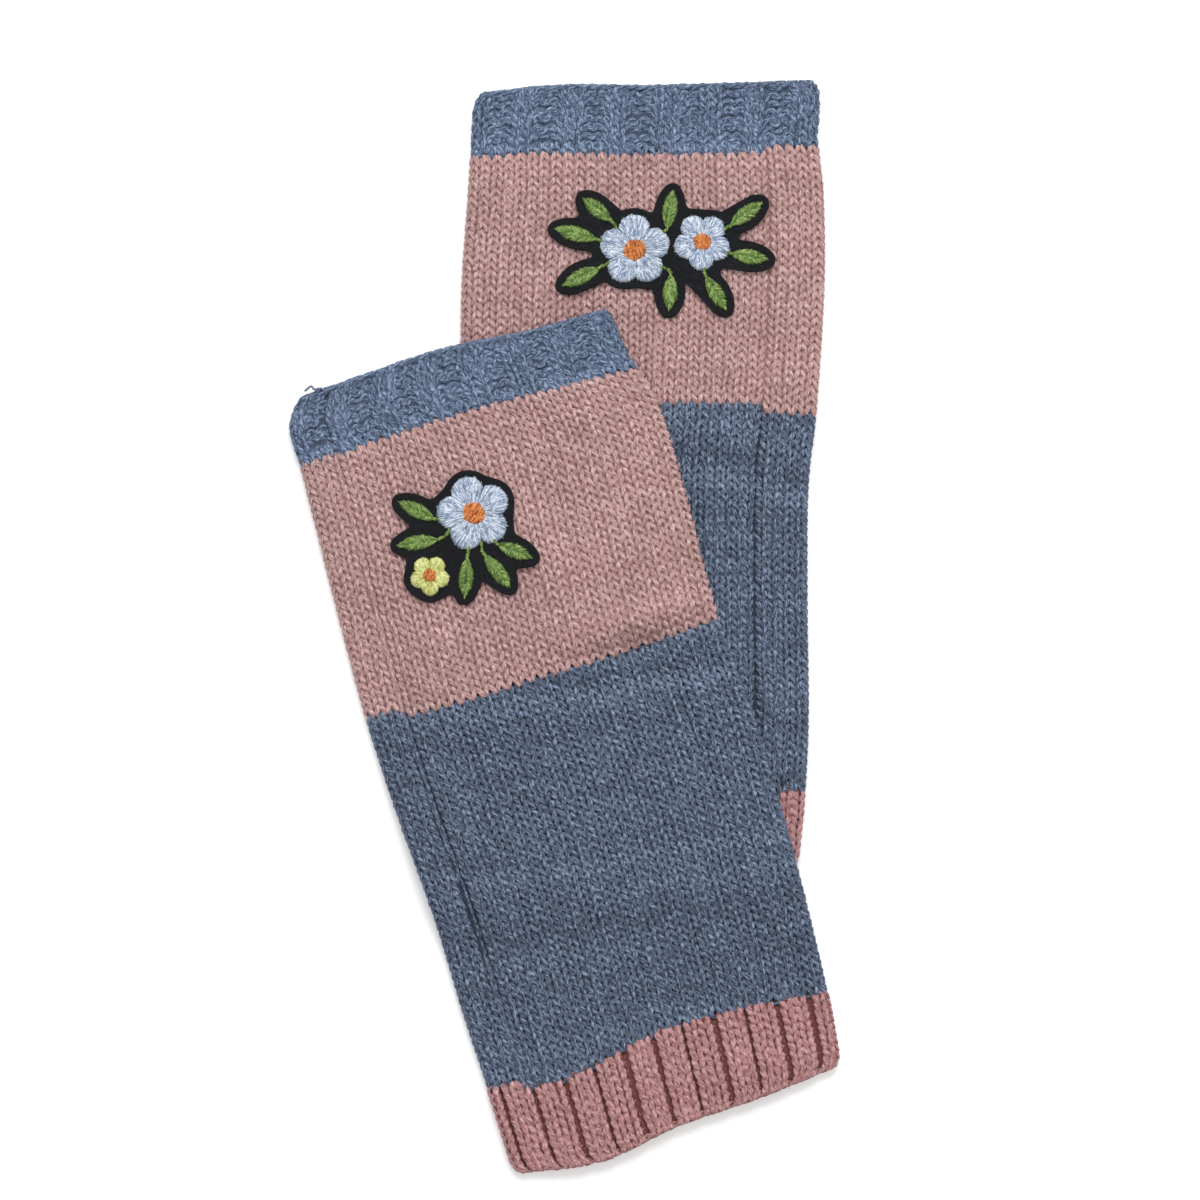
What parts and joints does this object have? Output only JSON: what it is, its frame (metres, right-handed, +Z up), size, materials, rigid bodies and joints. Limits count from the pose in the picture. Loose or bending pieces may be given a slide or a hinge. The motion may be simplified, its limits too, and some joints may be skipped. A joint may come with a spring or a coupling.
{
  "type": "pair of arm warmers",
  "caption": "Knitted fingerless arm warmers in colour-block stripes, ribbed at both ends, with embroidered flower patches, laid flat and overlapping.",
  "frame": {"origin": "on the floor, under the middle of the pair's bounding box", "axes": "+Y along the pair's length towards the upper cuffs, +X to the right as seen from above with the upper cuffs at the top, +Z up off the floor"},
  "size_m": [0.1916, 0.3824, 0.0154],
  "materials": {
    "slate_yarn": "heathered blue-grey wool-blend knit, matte and slightly fuzzy",
    "rose_yarn": "dusty pink wool-blend knit, matte and slightly fuzzy",
    "black_thread": "black embroidery thread, faint satin lustre",
    "silver_thread": "pale blue-grey embroidery thread, satin lustre",
    "olive_thread": "olive green embroidery thread, satin lustre",
    "orange_thread": "orange embroidery thread, satin lustre",
    "yellow_thread": "pale yellow embroidery thread, satin lustre"
  },
  "bodies": {
    "root": {"rear_upper_cuff": "slate_yarn", "rear_upper_band": "rose_yarn", "rear_lower_band": "slate_yarn", "rear_lower_cuff": "rose_yarn", "front_upper_cuff": "slate_yarn", "front_upper_band": "rose_yarn", "front_lower_band": "slate_yarn", "front_lower_cuff": "rose_yarn", "rear_patch_backing": "black_thread", "rear_patch_blossom_1": "silver_thread", "rear_patch_heart_1": "orange_thread", "rear_patch_blossom_2": "silver_thread", "rear_patch_heart_2": "orange_thread", "rear_patch_leaf_1": "olive_thread", "rear_patch_leaf_2": "olive_thread", "rear_patch_leaf_3": "olive_thread", "rear_patch_leaf_4": "olive_thread", "rear_patch_leaf_5": "olive_thread", "rear_patch_leaf_6": "olive_thread", "rear_patch_leaf_7": "olive_thread", "rear_patch_leaf_8": "olive_thread", "front_patch_backing": "black_thread", "front_patch_blossom_1": "silver_thread", "front_patch_heart_1": "orange_thread", "front_patch_blossom_2": "yellow_thread", "front_patch_heart_2": "orange_thread", "front_patch_leaf_1": "olive_thread", "front_patch_leaf_2": "olive_thread", "front_patch_leaf_3": "olive_thread", "front_patch_leaf_4": "olive_thread", "front_patch_leaf_5": "olive_thread"}
  },
  "joints": []
}
